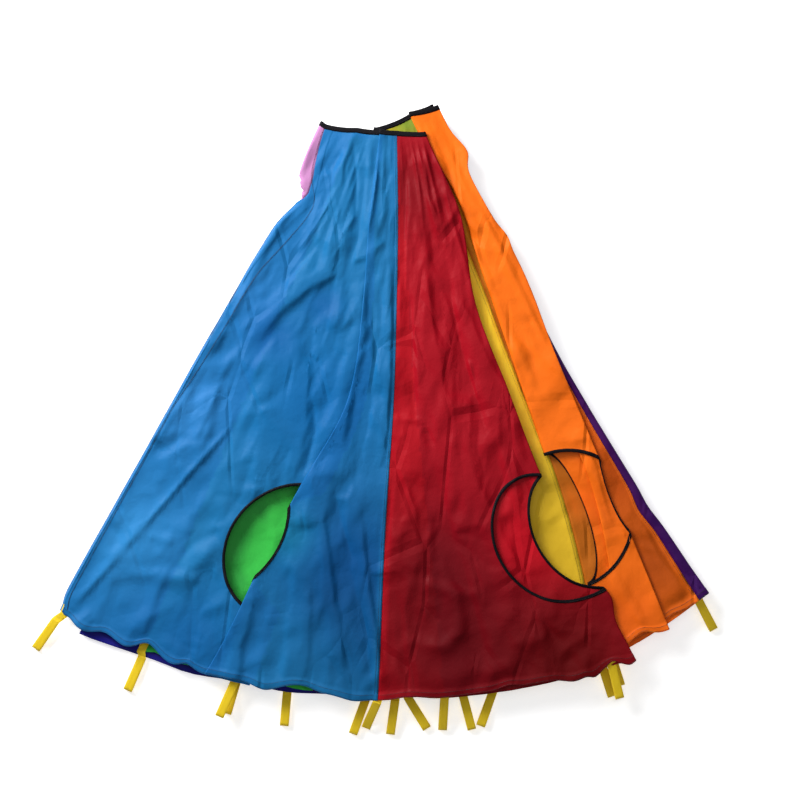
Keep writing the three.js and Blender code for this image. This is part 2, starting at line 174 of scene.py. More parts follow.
# The cloth's relief: creases and soft swells, seen from above, in the photograph's pixels from its own
# scale. Each is a path, how far the cloth rises along it (or sinks, below zero) and how far to each side it
# reaches.
photo_scale = 2.283
photo_top = (393, 28)
sharp = 1.15
soft = 2
creases = [
    # light blue, left of the lap
    ([(239, 403), (228, 431), (190, 473), (155, 514), (113, 562), (71, 610)], 5.5, 10, sharp, 0.3),
    ([(285, 225), (267, 245), (239, 303), (196, 383), (166, 426), (141, 470)], 3, 12, sharp),
    ([(222, 380), (207, 415), (193, 446)], 3, 14, sharp),
    ([(346, 285), (320, 297), (300, 308), (278, 326), (245, 364)], -4.5, 34, soft, 0.8),
    ([(340, 272), (312, 284), (286, 304), (262, 330)], 5, 18, soft),
    ([(313, 325), (310, 356), (316, 363), (320, 358)], -5, 10, sharp),
    ([(309, 364), (302, 420), (294, 476)], 6, 16, sharp),
    ([(313, 398), (316, 432), (303, 479)], -5, 12, sharp),
    ([(262, 372), (240, 412), (222, 452), (200, 500)], -4, 26, soft),
    ([(296, 392), (276, 440), (262, 470)], 4, 22, soft),
    ([(379, 280), (379, 329), (372, 378), (368, 420), (361, 454)], -6, 16, sharp),
    ([(366, 280), (362, 340), (350, 400), (338, 440)], 4, 22, soft),
    ([(390, 270), (391, 330), (388, 400), (382, 460)], 4, 12, soft),
    # the gathers under the middle hole
    ([(353, 137), (357, 175), (356, 214)], -4, 9, sharp),
    ([(344, 156), (341, 182), (318, 224), (293, 259)], 4, 11, sharp),
    ([(342, 151), (326, 173)], -3, 8, sharp),
    ([(378, 168), (374, 200), (368, 233)], 4, 10, sharp),
    ([(390, 172), (385, 195)], -3, 7, sharp),
    ([(356, 215), (341, 238)], 3, 9, sharp),
    ([(386, 241), (370, 255), (352, 262)], 4, 10, sharp),
    ([(319, 242), (302, 262), (285, 282)], -4, 10, sharp),
    ([(366, 150), (364, 190), (358, 240), (346, 275)], -3, 12, soft),
    # light blue, right of the flap
    (
        [(335, 480), (336, 498), (343, 524), (352, 556), (349, 568), (361, 608), (371, 671), (374, 696)],
        -5,
        13,
        sharp,
    ),
    ([(350, 470), (362, 540), (372, 610), (382, 680)], 4, 14, soft),
    ([(320, 500), (328, 560), (336, 620), (345, 680)], 4, 16, soft),
    ([(336, 498), (360, 497), (381, 495)], 3, 12, soft),
    ([(392, 470), (388, 540), (384, 610), (380, 670)], -3, 10, soft),
    # the hem of the light blue gore
    ([(122, 572), (165, 574), (206, 580)], 3, 20, soft),
    ([(148, 534), (175, 541)], 3, 14, soft),
    ([(187, 537), (222, 533)], -3, 16, soft),
    ([(122, 580), (110, 610), (104, 636)], -4, 14, soft),
    ([(215, 560), (196, 610), (188, 662)], -6, 18, soft),
    ([(170, 560), (150, 610), (140, 645)], 4, 24, soft),
    ([(250, 600), (240, 640), (236, 680)], 6, 22, soft),
    ([(290, 560), (284, 620), (276, 685)], -4, 22, soft),
    ([(310, 580), (306, 640), (302, 685)], 4, 20, soft),
    # red
    ([(407, 163), (405, 215), (400, 271)], -5, 12, sharp),
    ([(424, 160), (428, 200), (441, 232)], 4, 12, sharp),
    ([(462, 200), (452, 218), (441, 232)], 3, 12, sharp),
    ([(444, 250), (451, 301), (462, 353), (473, 389), (488, 441)], -7, 18, sharp),
    ([(462, 304), (486, 363), (510, 397)], 4, 12, sharp),
    ([(467, 358), (479, 402)], 4, 9, sharp),
    ([(424, 260), (428, 320), (436, 380), (448, 440)], 6, 26, soft),
    ([(410, 290), (412, 350), (415, 420)], -4, 14, soft),
    ([(393, 417), (410, 419), (424, 421)], 3, 8, sharp),
    ([(426, 428), (432, 445)], -4, 12, soft),
    ([(406, 480), (419, 546), (412, 575)], 5, 14, sharp),
    ([(432, 470), (450, 540), (470, 600), (486, 670)], -6, 22, soft),
    ([(418, 580), (450, 588), (480, 595)], 4, 20, soft),
    ([(470, 470), (500, 540), (530, 600), (556, 660)], 5, 26, soft),
    ([(508, 560), (540, 620), (575, 665)], -5, 24, soft),
    ([(400, 600), (404, 650), (410, 690)], -3, 12, soft),
    # yellow, orange and the edge at the right
    ([(440, 170), (470, 240), (505, 320), (540, 400)], 3, 9, soft),
    ([(516, 323), (531, 354), (545, 386), (556, 396), (561, 414)], -5, 10, sharp),
    ([(480, 210), (505, 260), (530, 310), (548, 350)], 3, 9, soft),
    ([(585, 440), (600, 490), (612, 530)], 3, 10, soft),
    ([(622, 530), (628, 536), (640, 548)], -3, 8, sharp),
    ([(625, 539), (640, 545), (656, 549)], 3, 8, sharp),
    ([(610, 570), (630, 600), (645, 625)], 4, 12, soft),
    ([(640, 520), (660, 560), (690, 596)], 2, 8, soft),
]
relief_base = 5
crease_gain = 1.6
relief_floor = 0.4
relief_ceiling = 10.5
floor_stiffness = 0.8
ceiling_stiffness = 1.5
relief_step = 3
relief_size = 560
relief_origin = np.array([-880.0, -1660.0])
crease_fade = 0.18
crease_end = 0.15
full_relief_height = 20
held_by_tape = 60
relief_seed = 7
noise_cells = 96
cell_corners = ((0, 0), (1, 0), (0, 1), (1, 1))
random = np.random.default_rng(relief_seed)
random_grid = random.random((noise_cells, noise_cells)) * 2 - 1


def eased(t):
    return t * t * (3 - 2 * t)


def noise_cell(u, v):
    i = np.floor(u).astype(int)
    j = np.floor(v).astype(int)
    values = [random_grid[np.mod(i + p, noise_cells), np.mod(j + q, noise_cells)] for p, q in cell_corners]
    return u - i, v - j, *values


def blended(a, b, near, right, above, far):
    return (near * (1 - a) + right * a) * (1 - b) + (above * (1 - a) + far * a) * b


def smooth_noise(u, v):
    a, b, *values = noise_cell(u, v)
    return blended(eased(a), eased(b), *values)


def facet_noise(u, v):
    a, b, near, right, above, far = noise_cell(u, v)
    lower = near + a * (right - near) + b * (above - near)
    upper = far + (1 - a) * (above - far) + (1 - b) * (right - far)
    return np.where(a + b < 1, lower, upper)


def from_photo(spot):
    return (spot[0] - photo_top[0]) * photo_scale, -(spot[1] - photo_top[1]) * photo_scale


def crease_height(x, y, path, rise, reach, power, steep=0.5):
    points = np.array([from_photo(spot) for spot in path])
    spans = np.diff(points, axis=0)
    lengths = np.hypot(*spans.T)
    before = np.concatenate([[0], np.cumsum(lengths)])
    nearest = np.full(x.shape, np.inf)
    travelled = np.zeros(x.shape)
    beside = np.zeros(x.shape)
    for start, span, length, run in zip(points, spans, lengths, before):
        t = np.clip(((x - start[0]) * span[0] + (y - start[1]) * span[1]) / length**2, 0, 1)
        gap = np.hypot(x - start[0] - t * span[0], y - start[1] - t * span[1])
        aside = (x - start[0]) * span[1] - (y - start[1]) * span[0]
        closer = gap < nearest
        beside = np.where(closer, aside, beside)
        nearest = np.where(closer, gap, nearest)
        travelled = np.where(closer, (run + t * length) / before[-1], travelled)
    fade = np.clip(np.minimum(travelled, 1 - travelled) / crease_fade, 0, 1)
    fade = crease_end + (1 - crease_end) * eased(fade)
    width = np.where(beside > 0, reach, reach * steep)
    return rise * fade * np.exp(-((nearest / width) ** power))


axis_x = relief_origin[0] + relief_step * np.arange(relief_size)
axis_y = relief_origin[1] + relief_step * np.arange(relief_size)
grid_x, grid_y = np.meshgrid(axis_x, axis_y, indexing="ij")
relief = np.full(grid_x.shape, float(relief_base))
for path, rise, reach, power, *steep in creases:
    relief += crease_gain * crease_height(grid_x, grid_y, path, rise, reach, power, *steep)

# Small radial puckers, which run out toward the hem, and the crumple of cloth that has been stuffed into
# its bag. A ridge's row is its rise, its width, its length and its lean. A facet's is its rise, its width
# in degrees and its length. Facets are flatter near the middle hole, where the gathers are.
pucker_rise = 2.2
pucker_angle = 2.6
pucker_length = 170
pucker_run_out = 1400
facet_run_in = 560
drift_angle = 8
drift_length = 210
ridge_rows = [(3.4, 105, 150, 0.3), (1.6, 60, 88, -0.5), (0.6, 15, 22, -0.2)]
facet_rows = [(3.6, 3.3, 125), (2.2, 1.5, 62)]
grid_aim = np.degrees(np.arctan2(grid_x, -grid_y))
grid_distance = np.hypot(grid_x, grid_y)
pucker = smooth_noise(grid_aim / pucker_angle + 40, grid_distance / pucker_length)
pucker_share = np.clip(1.3 - grid_distance / pucker_run_out, 0.25, 1)
relief += pucker_rise * (1 - 2 * np.abs(pucker)) * pucker_share
for rise, across, along, lean in ridge_rows:
    u = grid_x * math.cos(lean) + grid_y * math.sin(lean)
    v = grid_y * math.cos(lean) - grid_x * math.sin(lean)
    drift = 0.5 * smooth_noise(u / along + 3, v / along + 11)
    relief += rise * (0.5 - 1.6 * np.abs(smooth_noise(u / across + 17 + drift, v / along + 31 - drift)))
facet_share = np.clip(grid_distance / facet_run_in, 0.7, 1.5)
for rise, turn, length in facet_rows:
    drift = smooth_noise(grid_aim / drift_angle + turn, grid_distance / drift_length)
    facets = facet_noise(grid_aim / turn + 1.2 * drift + 40, grid_distance / length + 0.8 * drift)
    relief += rise * facet_share * facets
relief = relief_floor + np.logaddexp(0, (relief - relief_floor) * floor_stiffness) / floor_stiffness
relief = relief_ceiling - np.logaddexp(0, (relief_ceiling - relief) * ceiling_stiffness) / ceiling_stiffness


def relief_at(x, y):
    u = np.clip((x - relief_origin[0]) / relief_step, 0, relief_size - 2)
    v = np.clip((y - relief_origin[1]) / relief_step, 0, relief_size - 2)
    i = u.astype(int)
    j = v.astype(int)
    values = [relief[i + p, j + q] for p, q in cell_corners]
    return blended(u - i, v - j, *values)


# Where the real pleats bow out of their straight run. A row is a place in the photograph, how far the cloth
# there is drawn over, how wide the pull is, and the part of the disc that is drawn.
pulls = [
    # the light blue hem, lifted in scallops off the darker pleats below
    ((292, 202), (14, -3), 18, -30, 8),
    ((57, 619), (8, -5), 18, -6, 8),
    ((105, 640), (0, -8), 16, 0, 12),
    ((147, 655), (1, -12), 15, 5, 18),
    ((187, 668), (0, -5), 9, 13, 21),
    ((265, 683), (0, 6), 14, 28.5, 38),
    ((303, 687), (0, -4), 14, 32, 42),
    ((354, 697), (0, 3), 14, 38, 46),
    # the red hem and its corner
    ((410, 698), (0, -3), 18, 45, 52),
    ((508, 686), (0, -3), 10, 54, 61),
    ((575, 673), (0, 6), 16, 60, 68),
    ((594, 668), (0, 6), 8, 63, 68.5),
    ((612, 663), (0, -4), 6, 64, 69.5),
    ((628, 657), (1, 5), 8, 65, 73),
    ((606, 592), (11, -1), 20, 62, 73),
    # the hems under the light blue: dark blue shows past it, the green and yellow behind stay hidden
    ((108, 645), (-22, -7), 25, 269, 280),
    ((190, 671), (0, 3), 30, 280, 292),
    ((285, 690), (0, 4), 30, 284, 300),
    ((150, 659), (0, -8), 30, 224, 271),
    ((210, 677), (0, -8), 30, 224, 271),
    ((270, 690), (0, -7), 30, 224, 271),
    ((330, 697), (0, -5), 30, 224, 271),
    ((302, 690), (0, -8), 24, 90, 112),
    # hems drawn back from the handles that swing up beside them
    ((408, 698), (0, -4), 16, 86, 122),
    ((494, 692), (0, -5), 17, 299, 314.6),
    # the orange hem, and the purple edge beside it
    ((640, 641), (0, -10), 16, 155, 171),
    ((672, 618), (0, -4), 12, 169, 180),
    ((640, 512), (-4, 0), 16, 176, 186),
    ((460, 150), (9, 1), 15, 136, 225),
    ((504, 236), (3, 0), 12, 136, 225),
]
pull_soft_edge = 2
fold_edge = 330


def pulled(at, places):
    at = np.where(at > fold_edge, at - 360, at)
    for spot, shift_by, reach, first, last in pulls:
        x, y = from_photo(spot)
        near = np.exp(-((places[:, 0] - x) ** 2 + (places[:, 1] - y) ** 2) / (reach * photo_scale) ** 2)
        within = np.clip((at - first) / pull_soft_edge, 0, 1) * np.clip((last - at) / pull_soft_edge, 0, 1)
        places[:, 0] += shift_by[0] * photo_scale * near * within
        places[:, 1] -= shift_by[1] * photo_scale * near * within
    return places


# A place on the relieved cloth. Layers near the floor take less of the relief, so no layer passes another,
# and the gathers run out where the tape holds the middle hole's edge.
def cloth_place(at, distance):
    places = pulled(np.mod(at, 360), folded_place(at, distance))
    share = np.clip(places[:, 2] / full_relief_height, 0, 1)
    free = np.clip((distance - middle_hole_radius - tape_width) / held_by_tape, 0, 1)
    rise = relief_base + (relief_at(places[:, 0], places[:, 1]) - relief_base) * free
    places[:, 2] += rise * eased(share)
    return places + shift


def cloth_frames(at, distance):
    turn = 0.02
    step = 0.6
    across = cloth_place(at + turn, distance) - cloth_place(at - turn, distance)
    inward = np.clip(distance - step, middle_hole_radius, disc_radius)
    outward = np.clip(distance + step, middle_hole_radius, disc_radius)
    along = cloth_place(at, outward) - cloth_place(at, inward)
    across /= np.linalg.norm(across, axis=1)[:, None]
    along /= np.linalg.norm(along, axis=1)[:, None]
    normal = np.cross(along, across)
    normal /= np.linalg.norm(normal, axis=1)[:, None]
    return cloth_place(at, distance), across, along, normal


def linear_colour(value):
    parts = [int(value[i : i + 2], 16) / 255 for i in (1, 3, 5)]
    return [c / 12.92 if c <= 0.04045 else ((c + 0.055) / 1.055) ** 2.4 for c in parts] + [1]


# What lies under each spot of cloth shows through it a little: the next layer's colour, or else the pale
# floor. A row is a gore's name, its dye, how much shows through it, and the steps round its hole and beside
# it.
gores = [
    ("light_blue", "#1769A3", 0.12, 84, 64),
    ("red", "#A80A1F", 0.3, 84, 64),
    ("yellow", "#F2C62E", 0.15, 40, 24),
    ("orange", "#F6881F", 0.5, 48, 46),
    ("purple", "#3E0E5C", 0.2, 40, 20),
    ("green", "#3CC04C", 0.3, 26, 12),
    ("dark_blue", "#1E1C86", 0.2, 26, 12),
    ("pink", "#BC84B4", 0.2, 48, 30),
]
under_cell = 6
under_columns = 320
under_corner = (-900, -1700)
under_key = 1000.0
own_layer_share = 0.6
scan_turn = 0.1
scan_step = 4.0
scan_at = np.arange(scan_turn / 2, 360, scan_turn)
scan_distance = np.arange(middle_hole_radius + 1, disc_radius, scan_step)
scan_at, scan_distance = (grid.ravel() for grid in np.meshgrid(scan_at, scan_distance, indexing="ij"))
from_hole = np.mod(scan_at, gore_angle) - gore_angle / 2
hole_x = scan_distance * np.sin(np.radians(from_hole))
hole_y = scan_distance * np.cos(np.radians(from_hole)) - gore_hole_distance
solid = np.hypot(hole_x, hole_y) > gore_hole_radius
scan_at = scan_at[solid]
scan_distance = scan_distance[solid]


def under_keys(places):
    i = np.clip(((places[:, 0] - under_corner[0]) / under_cell).astype(int), 0, under_columns - 1)
    j = np.clip(((places[:, 1] - under_corner[1]) / under_cell).astype(int), 0, under_columns - 1)
    return (i * under_columns + j) * under_key


scanned = folded_place(scan_at, scan_distance)
scan_keys = under_keys(scanned) + scanned[:, 2]
scan_order = np.argsort(scan_keys)
scan_keys = scan_keys[scan_order]
scan_gore = (scan_at[scan_order] // gore_angle).astype(int)


# Painted light and shade: soft spots that darken the cloth deep in the pleat, where many layers lie doubled,
# and toward the hem, and lighten it along some pleat edges and in the holes. A row is a place in the
# photograph, its reach, what it multiplies red, green and blue by, and its part of the disc. These factors
# are rounded, and were worked out from the mean colours of patches of the photograph and of renders.
painted_light_spots = [
    # light blue: painted light along the pleat's edge, painted shade where the lap doubles it and down the
    # middle
    ((190, 400), 42, (2.6, 1.3, 1.25), 0, 12),
    ((130, 535), 60, (2.6, 1.5, 1.35), 0, 14),
    ((245, 290), 34, (1.7, 1.1, 1.1), 0, 12),
    ((322, 305), 22, (0.45, 0.72, 0.86), 0, 45),
    ((275, 335), 26, (0.5, 0.75, 0.88), 0, 45),
    ((350, 560), 70, (0.3, 0.55, 0.75), 20, 45),
    ((372, 640), 55, (0.4, 0.65, 0.75), 20, 45),
    ((320, 400), 70, (0.4, 0.85, 1.0), 0, 45),
    ((190, 640), 55, (0.6, 0.8, 0.95), 0, 30),
    # the green gore seen faintly through the light blue beside its own hole, and painted shade where the
    # green's hole lies beneath
    ((292, 535), 24, (1.2, 1.45, 1.1), 20, 45),
    ((326, 600), 22, (0.55, 0.78, 0.82), 20, 45),
    # red: painted shade, darkest toward the hem and in the gathers, and painted light on the layer in its
    # hole
    ((440, 650), 100, (0.42, 0.42, 0.5), 45, 90),
    ((570, 660), 80, (0.4, 0.2, 0.2), 45, 90),
    ((425, 560), 60, (0.6, 0.6, 0.7), 45, 90),
    ((412, 190), 46, (0.62, 0.5, 0.6), 45, 90),
    ((522, 548), 36, (1.6, 1.5, 1.6), 68.5, 90),
    # yellow: darker and bluer at the top, then painted light along the pleat beside the orange
    ((408, 124), 26, (0.2, 0.46, 0.95), 90, 135),
    ((475, 250), 40, (1.7, 1.9, 2.4), 90, 135),
    ((505, 340), 50, (1.7, 1.8, 2.0), 90, 135),
    ((535, 420), 46, (1.5, 1.5, 1.9), 90, 135),
    # orange: painted light on its fold beside the yellow, painted shade on its lower pleat at the right, and
    # painted light on the second layer that shows in its hole
    ((470, 225), 34, (1.5, 2.0, 1.7), 135, 141),
    ((490, 285), 34, (1.5, 2.0, 1.7), 135, 141),
    ((655, 560), 70, (0.5, 0.46, 0.55), 168.75, 180),
    ((615, 470), 50, (0.6, 0.5, 0.55), 168.75, 180),
    ((580, 400), 40, (0.75, 0.7, 0.7), 168.75, 180),
    ((600, 510), 26, (0.8, 0.75, 0.75), 135, 168.75),
    ((620, 620), 40, (0.85, 0.75, 0.7), 135, 168.75),
    ((568, 505), 18, (1.6, 1.25, 1.2), 135, 180),
]


# The colour from below that shows through the cloth, times the painted light and shade of the spots above
def tints_and_painted_light(at, distance, see_through):
    places = folded_place(at, distance)
    shade = np.ones((len(places), 3))
    for spot, reach, cast, first, last in painted_light_spots:
        x, y = from_photo(spot)
        gap = ((places[:, 0] - x) ** 2 + (places[:, 1] - y) ** 2) / (reach * photo_scale) ** 2
        within = np.clip(at - first, 0, 1) * np.clip(last - at, 0, 1)
        shade *= 1 + (np.array(cast) - 1) * (np.exp(-gap) * within)[:, None]
    keys = under_keys(places)
    found = np.searchsorted(scan_keys, keys + places[:, 2] - layer_pitch * own_layer_share) - 1
    colours = np.array([linear_colour(colour) for name, colour, *unused in gores] + [[1, 1, 1, 1]])
    chosen = np.where((found >= 0) & (scan_keys[found] >= keys), scan_gore[found], len(gores))
    tint_and_painted_light = 1 - see_through + see_through * colours[chosen]
    tint_and_painted_light[:, :3] *= shade
    return tint_and_painted_light


# Dyed polyester taffeta: thin and tightly woven, with a slight sheen. Its fine crumple, its ridges and its
# straight pressed creases come from the bag that it is packed in. Their scales count repeats in a metre.
taffeta_roughness = 0.52
taffeta_specular = 0.1
crumple_scale = 46.0
ridge_scale = 11.0
pressed_scale = 10.0
pressed_stretch = (1, 0.4, 1)
pressed_width = 0.07
patch_scale = 7.0
patch_start = 0.45
patch_full = 0.62


def add_node(tree, kind, links=(), **values):
    node = tree.nodes.new(kind)
    for name, value in values.items():
        if name in node.inputs:
            node.inputs[name].default_value = value
        else:
            setattr(node, name, value)
    for source, target in links:
        tree.links.new(source, node.inputs[target])
    return node


def new_material(name, colour, roughness):
    material = bpy.data.materials.new(name)
    material.use_nodes = True
    shader = material.node_tree.nodes["Principled BSDF"]
    shader.inputs["Base Color"].default_value = linear_colour(colour)
    shader.inputs["Roughness"].default_value = roughness
    return material, material.node_tree, shader


def taffeta(name, colour):
    material, tree, shader = new_material(name, colour, taffeta_roughness)
    shader.inputs["Specular IOR Level"].default_value = taffeta_specular
    # The tint attribute holds the colour that shows through from below and the painted light and shade
    tint_and_painted_light = add_node(tree, "ShaderNodeAttribute", attribute_name="tint_and_painted_light")
    mixed = add_node(tree, "ShaderNodeMix", data_type="RGBA", blend_type="MULTIPLY")
    mixed.inputs[0].default_value = 1
    mixed.inputs[6].default_value = linear_colour(colour)
    tree.links.new(tint_and_painted_light.outputs["Color"], mixed.inputs[7])
    tree.links.new(mixed.outputs[2], shader.inputs["Base Color"])
    place = add_node(tree, "ShaderNodeTexCoord")
    on_cloth = [(place.outputs["Object"], "Vector")]
    crumple = add_node(tree, "ShaderNodeTexNoise", on_cloth, Scale=crumple_scale, Detail=5.0, Roughness=0.6)
    crumpled = [(crumple.outputs["Fac"], "Height")]
    bump = add_node(tree, "ShaderNodeBump", crumpled, Strength=0.35, Distance=0.004)
    ridges = add_node(
        tree,
        "ShaderNodeTexNoise",
        on_cloth,
        noise_type="RIDGED_MULTIFRACTAL",
        Scale=ridge_scale,
        Detail=3.0,
        Roughness=0.5,
        Lacunarity=2.3,
        Distortion=0.4,
    )
    ridged = [(ridges.outputs["Fac"], "Height"), (bump.outputs["Normal"], "Normal")]
    bump = add_node(tree, "ShaderNodeBump", ridged, Strength=0.8, Distance=0.016)

    # The pressed creases come and go, in patches
    drawn_out = add_node(tree, "ShaderNodeMapping", on_cloth, Scale=pressed_stretch)
    stretched = [(drawn_out.outputs[0], "Vector")]
    crease = add_node(
        tree, "ShaderNodeTexVoronoi", stretched, feature="DISTANCE_TO_EDGE", Scale=pressed_scale
    )
    pressed = add_node(tree, "ShaderNodeMapRange", [(crease.outputs["Distance"], "Value")])
    pressed.inputs["From Max"].default_value = pressed_width
    patches = add_node(tree, "ShaderNodeTexNoise", on_cloth, Scale=patch_scale, Detail=1.0)
    share = add_node(tree, "ShaderNodeMapRange", [(patches.outputs["Fac"], "Value")])
    share.inputs["From Min"].default_value = patch_start
    share.inputs["From Max"].default_value = patch_full
    depth = add_node(tree, "ShaderNodeMath", operation="MULTIPLY")
    tree.links.new(pressed.outputs["Result"], depth.inputs[0])
    tree.links.new(share.outputs["Result"], depth.inputs[1])
    creased = [(depth.outputs[0], "Height"), (bump.outputs["Normal"], "Normal")]
    bump = add_node(tree, "ShaderNodeBump", creased, Strength=0.7, Distance=0.004)
    tree.links.new(bump.outputs["Normal"], shader.inputs["Normal"])
    return material


scene = bpy.context.scene


def mesh_object(name, points, faces, material, smooth=True):
    mesh = bpy.data.meshes.new(name)
    mesh.from_pydata((np.asarray(points) * METRE).tolist(), [], [list(face) for face in faces])
    mesh.polygons.foreach_set("use_smooth", [smooth] * len(mesh.polygons))
    mesh.materials.append(material)
    mesh.update()
    piece = bpy.data.objects.new(name, mesh)
    scene.collection.objects.link(piece)
    return piece


# The eight gores of dyed taffeta. Each is cut round its own hole, felled to the next at one edge, and
# rolled into a hem at the rim. Its mesh has these rows on the inner side of its hole, by the steps round
# the hole, and a quarter as many on the outer side.
near_rows = {84: 160, 48: 130, 40: 84, 26: 44}
hem_width = 15
hem_thickness = 1.8
hem_ramp = 1
hem_steps = (0, 5, 10, 14.2, 15)
rim_edge = 0.1
seam_width = 12
seam_thickness = 0.9
fold_spans = [(row[0], row[0] + fold_angle) for row in folded_plan if row[2] is not None]


def near_fold(at):
    return any(first - fold_angle / 2 < at < last + fold_angle / 2 for first, last in fold_spans)


# The first seam lies on the pleat's left edge, so below the pink lobe the light blue reaches round the
# edge. The cloth on either side of the seam gives way over some degrees.
seam_lead = 2.9
lead_start = 330
lead_end = 430
blue_give = 12
pink_give = 15


def led(at, distance):
    share = eased(np.clip((distance - lead_start) / (lead_end - lead_start), 0, 1))
    blue = np.clip(1 - at / blue_give, 0, 1)
    pink = np.clip((at - 360 + pink_give) / pink_give, 0, 1)
    return at - seam_lead * share * blue - seam_lead * share * pink


def gore_columns(index, hole_steps, side_steps):
    start = index * gore_angle
    middle = start + gore_angle / 2
    widest = math.degrees(math.asin(gore_hole_radius / gore_hole_distance))
    columns = {start, start + gore_angle}
    for step in range(-hole_steps // 2, hole_steps // 2 + 1):
        reach = gore_hole_radius * math.sin(math.pi * step / hole_steps)
        angle = math.degrees(math.asin(reach / gore_hole_distance))
        if abs(step) == hole_steps // 2 or not near_fold(middle + angle):
            columns.add(middle + angle)
    for side in (0, 1):
        low = start if side == 0 else middle + widest
        high = middle - widest if side == 0 else start + gore_angle
        columns.update(at for at in np.linspace(low, high, side_steps + 1) if not near_fold(at))
    columns.update(at for at in line_angles if start < at < start + gore_angle)
    return np.array(sorted(columns)), middle, widest


def hole_edges(angle, radius, widest):
    turn = np.radians(np.clip(angle, -widest, widest))
    centre = gore_hole_distance * np.cos(turn)
    half = np.sqrt(np.maximum(radius**2 - (gore_hole_distance * np.sin(turn)) ** 2, 0))
    closed = np.abs(angle) > widest - 1e-6
    shut = gore_hole_distance * math.cos(math.radians(widest))
    return np.where(closed, shut, centre - half), np.where(closed, shut, centre + half), closed


def gore_mesh(index, see_through, hole_steps, side_steps):
    columns, middle, widest = gore_columns(index, hole_steps, side_steps)
    near, far, closed = hole_edges(columns - middle, gore_hole_radius, widest)
    inner_rows = near_rows[hole_steps]
    outer_rows = inner_rows // 4
    hem_start = disc_radius - hem_width
    rows = [middle_hole_radius + (near - middle_hole_radius) * t for t in np.linspace(0, 1, inner_rows)]
    rows += [far + (hem_start - hem_ramp - far) * t for t in np.linspace(0, 1, outer_rows)]
    rows += [np.full(len(columns), hem_start + past) for past in hem_steps]
    distances = np.stack(rows, 1)
    at = np.repeat(columns, distances.shape[1])
    distance = distances.ravel()
    cut_at = at
    at = led(at, distance)
    places, across, along, normal = cloth_frames(at, distance)
    thick = np.full(distance.shape, float(cloth_thickness))
    thick[distance >= hem_start] = hem_thickness
    thick[distance >= disc_radius - rim_edge] = hem_thickness / 2
    seam_reach = np.radians((index + 1) * gore_angle - cut_at) * distance
    if index == len(gores) - 1:
        seam_reach = np.full(len(at), np.inf)
    if index == 0:
        seam_reach = np.minimum(seam_reach, np.radians(cut_at) * distance)
    felled = np.where(seam_reach < seam_width, seam_thickness, 0)
    top = places + normal * (thick / 2 + felled)[:, None]
    bottom = places - normal * (thick / 2)[:, None]
    count = distances.shape[1]
    ids = np.arange(len(distance)).reshape(len(columns), count)
    ids[closed, inner_rows] = ids[closed, inner_rows - 1]
    quads = []
    for row in range(count - 1):
        if row == inner_rows - 1:
            continue
        block = np.stack([ids[:-1, row], ids[:-1, row + 1], ids[1:, row + 1], ids[1:, row]], 1)
        quads.append(block)
    quads = np.concatenate(quads)
    total = len(distance)
    open_edges = {}
    for quad in quads.tolist():
        for a, b in zip(quad, quad[1:] + quad[:1]):
            if a == b:
                continue
            if (b, a) in open_edges:
                del open_edges[(b, a)]
            else:
                open_edges[(a, b)] = True
    faces = [list(dict.fromkeys(quad)) for quad in quads.tolist()]
    faces += [[v + total for v in reversed(face)] for face in faces]
    faces += [[b, a, a + total, b + total] for a, b in open_edges]
    points = np.concatenate([top, bottom])
    tint_and_painted_light = tints_and_painted_light(at, distance, see_through)
    tint_and_painted_light = np.concatenate([tint_and_painted_light, tint_and_painted_light])
    used = sorted({v for face in faces for v in face})
    renumbered = {v: n for n, v in enumerate(used)}
    faces = [[renumbered[v] for v in face] for face in faces]
    return points[used], faces, tint_and_painted_light[used]


for index, (colour_name, colour, see_through, hole_steps, side_steps) in enumerate(gores):
    points, faces, tint_and_painted_light = gore_mesh(index, see_through, hole_steps, side_steps)
    cloth = taffeta(f"{colour_name}_taffeta", colour)
    panel = mesh_object(f"{colour_name}_gore", points, faces, cloth)
    # Each gore carries its see-through colour and its painted light and shade as a colour attribute
    tint_and_painted_light_layer = panel.data.color_attributes.new("tint_and_painted_light", "FLOAT_COLOR", "POINT")
    tint_and_painted_light_layer.data.foreach_set("color", tint_and_painted_light.ravel())
    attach(panel, "canopy")
    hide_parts(f"{colour_name}_panel")


# Black bias tape of woven polyester, folded over the raw edge of every hole and sewn through. Each gore's
# hole has a ring of its own, and one ring runs round the middle hole across all the gores and their folds.
tape_thickness = 0.7
tape_gap = 0.3
tape_fold = 1.6
tape_crown = 0.15
tape_shoulder = 0.75
tape_steps = 120
rim_turn = 0.75
tape_inner = cloth_thickness / 2 + tape_gap
tape_outer = tape_inner + tape_thickness


def tape_section(width):
    return [
        (width, tape_outer),
        (width / 2, tape_outer + tape_crown),
        (0, tape_outer),
        (-tape_fold * tape_shoulder, tape_outer * tape_shoulder),
        (-tape_fold, 0),
        (-tape_fold * tape_shoulder, -tape_outer * tape_shoulder),
        (0, -tape_outer),
        (width, -tape_outer),
        (width, -tape_inner),
        (-tape_fold + tape_thickness, -tape_inner),
        (-tape_fold + tape_thickness, tape_inner),
        (width, tape_inner),
    ]


hole_section = tape_section(hole_tape_width)
rim_section = tape_section(tape_width)
tape_black, *unused, tape_shader = new_material("black_tape", "#07050B", 0.7)
tape_shader.inputs["Specular IOR Level"].default_value = 0.12


def swept(rings):
    count = rings.shape[1]
    ids = np.arange(rings.shape[0] * count).reshape(rings.shape[0], count)
    there = np.roll(ids, -1, 0)
    faces = np.stack([ids, there, np.roll(there, -1, 1), np.roll(ids, -1, 1)], 2)
    return rings.reshape(-1, 3), faces.reshape(-1, 4)


